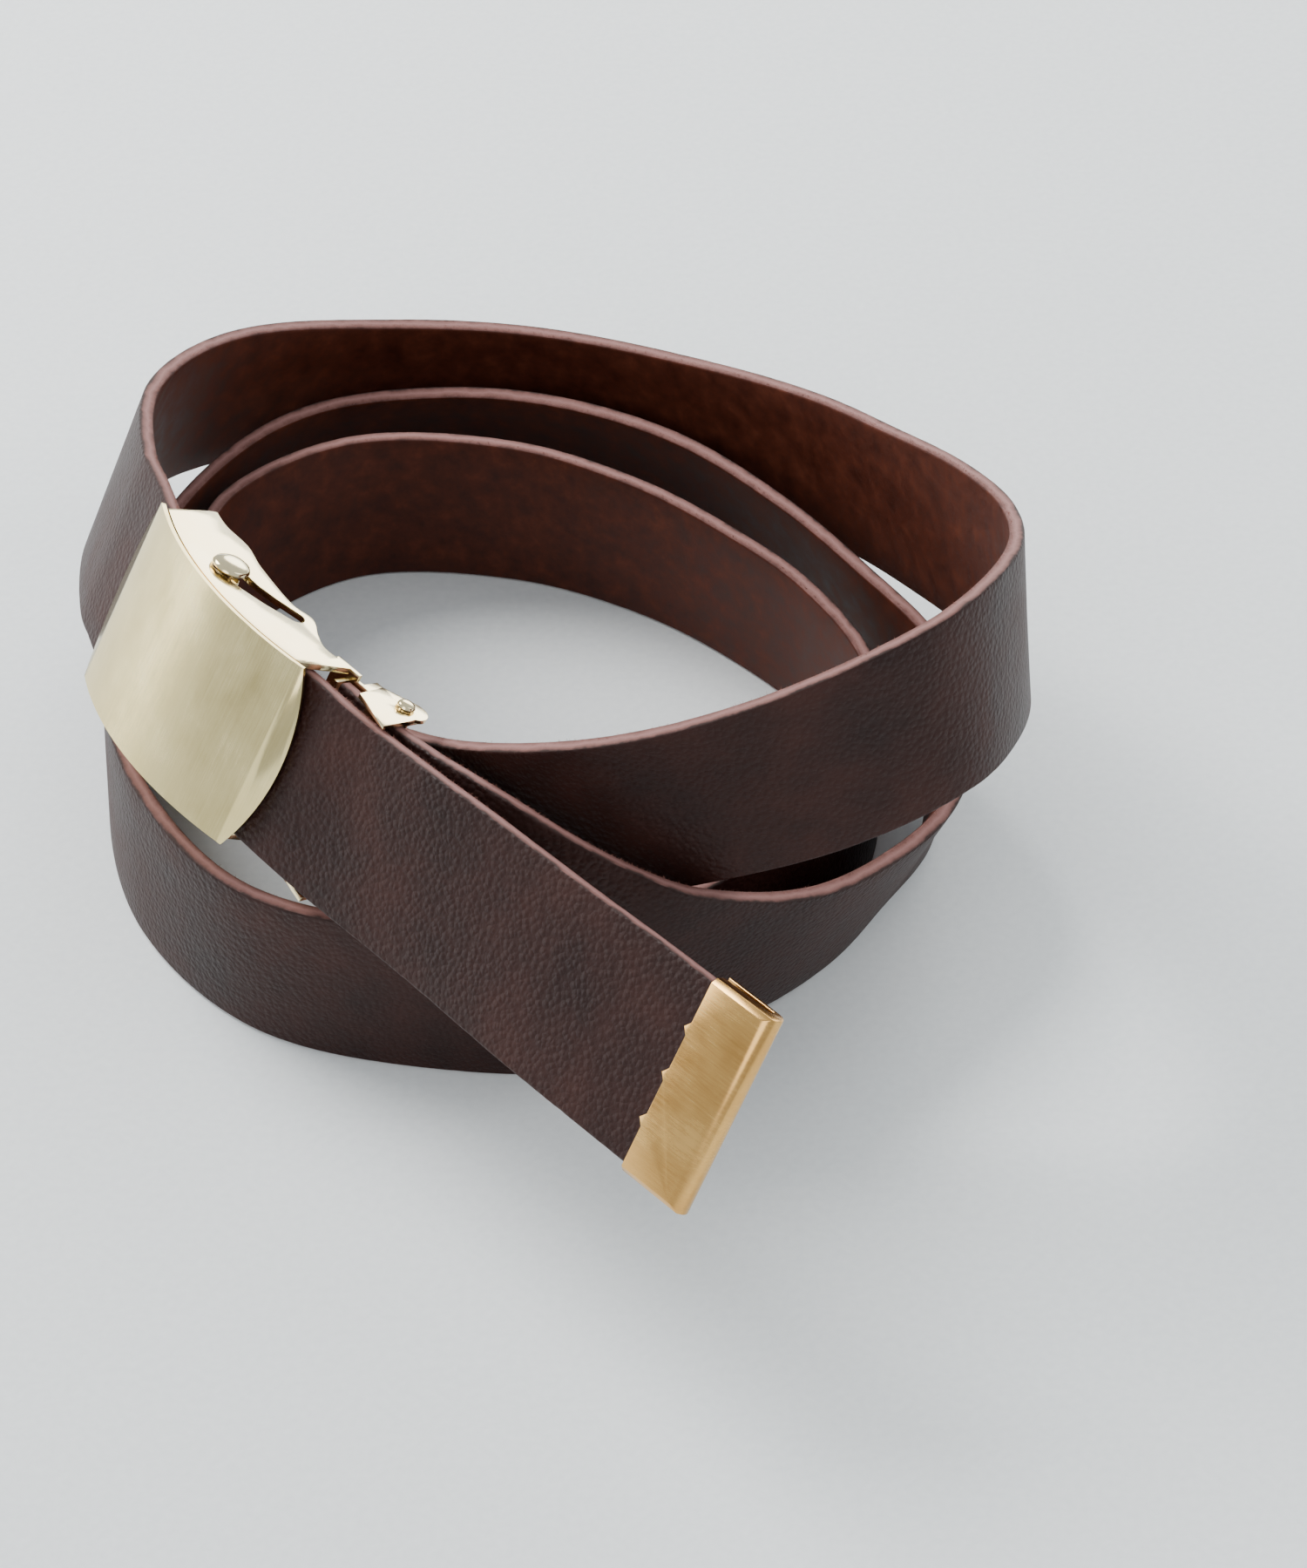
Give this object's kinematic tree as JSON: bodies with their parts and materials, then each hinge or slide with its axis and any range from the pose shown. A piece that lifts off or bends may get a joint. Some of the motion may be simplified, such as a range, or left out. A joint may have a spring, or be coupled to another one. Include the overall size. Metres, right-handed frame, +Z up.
{
  "type": "coiled leather dress belt",
  "caption": "Leather dress belt coiled on its edge: bowed plate buckle with a sliding bar that pinches the strap, a hinged jaw on its cut end and a folded metal tip.",
  "frame": {"origin": "centre of the bounding box, on the surface that the coil stands on", "axes": "+Z up out of that surface, along the strap's width; +Y from the buckle and tip side towards the back of the coil; +X to the right with the buckle in front on the left"},
  "size_m": [0.1524, 0.2138, 0.0816],
  "materials": {
    "strap_leather": "fine pebbled grain outside, smooth red-brown inside, raw pinkish cut edges",
    "satin_gold": "satin, brushed across the strap",
    "bright_gold": "polished pale gold plate",
    "warm_gold": "warm gold plate with fine scratches"
  },
  "bodies": {
    "belt": {"leather_strap": "strap_leather", "strap_tip": "warm_gold", "front_plate": "satin_gold", "buckle_frame": "bright_gold", "upper_pivot_rivet": "bright_gold", "lower_pivot_rivet": "bright_gold"},
    "bar": {"locking_bar": "bright_gold"},
    "jaw": {"clamp_jaw": "bright_gold"}
  },
  "joints": [
    {"name": "bar_slide", "type": "slide", "parent": "belt", "child": "bar", "axis": [0.7601, -0.6124, -0.2172], "range_m": [0, 0.0105]},
    {"name": "jaw_hinge", "type": "hinge", "parent": "belt", "child": "jaw", "pos_m": [-0.02616, -0.03127, 0.04438], "axis": [0.4159, 0.2017, 0.8868], "range_deg": [0, 6]}
  ]
}
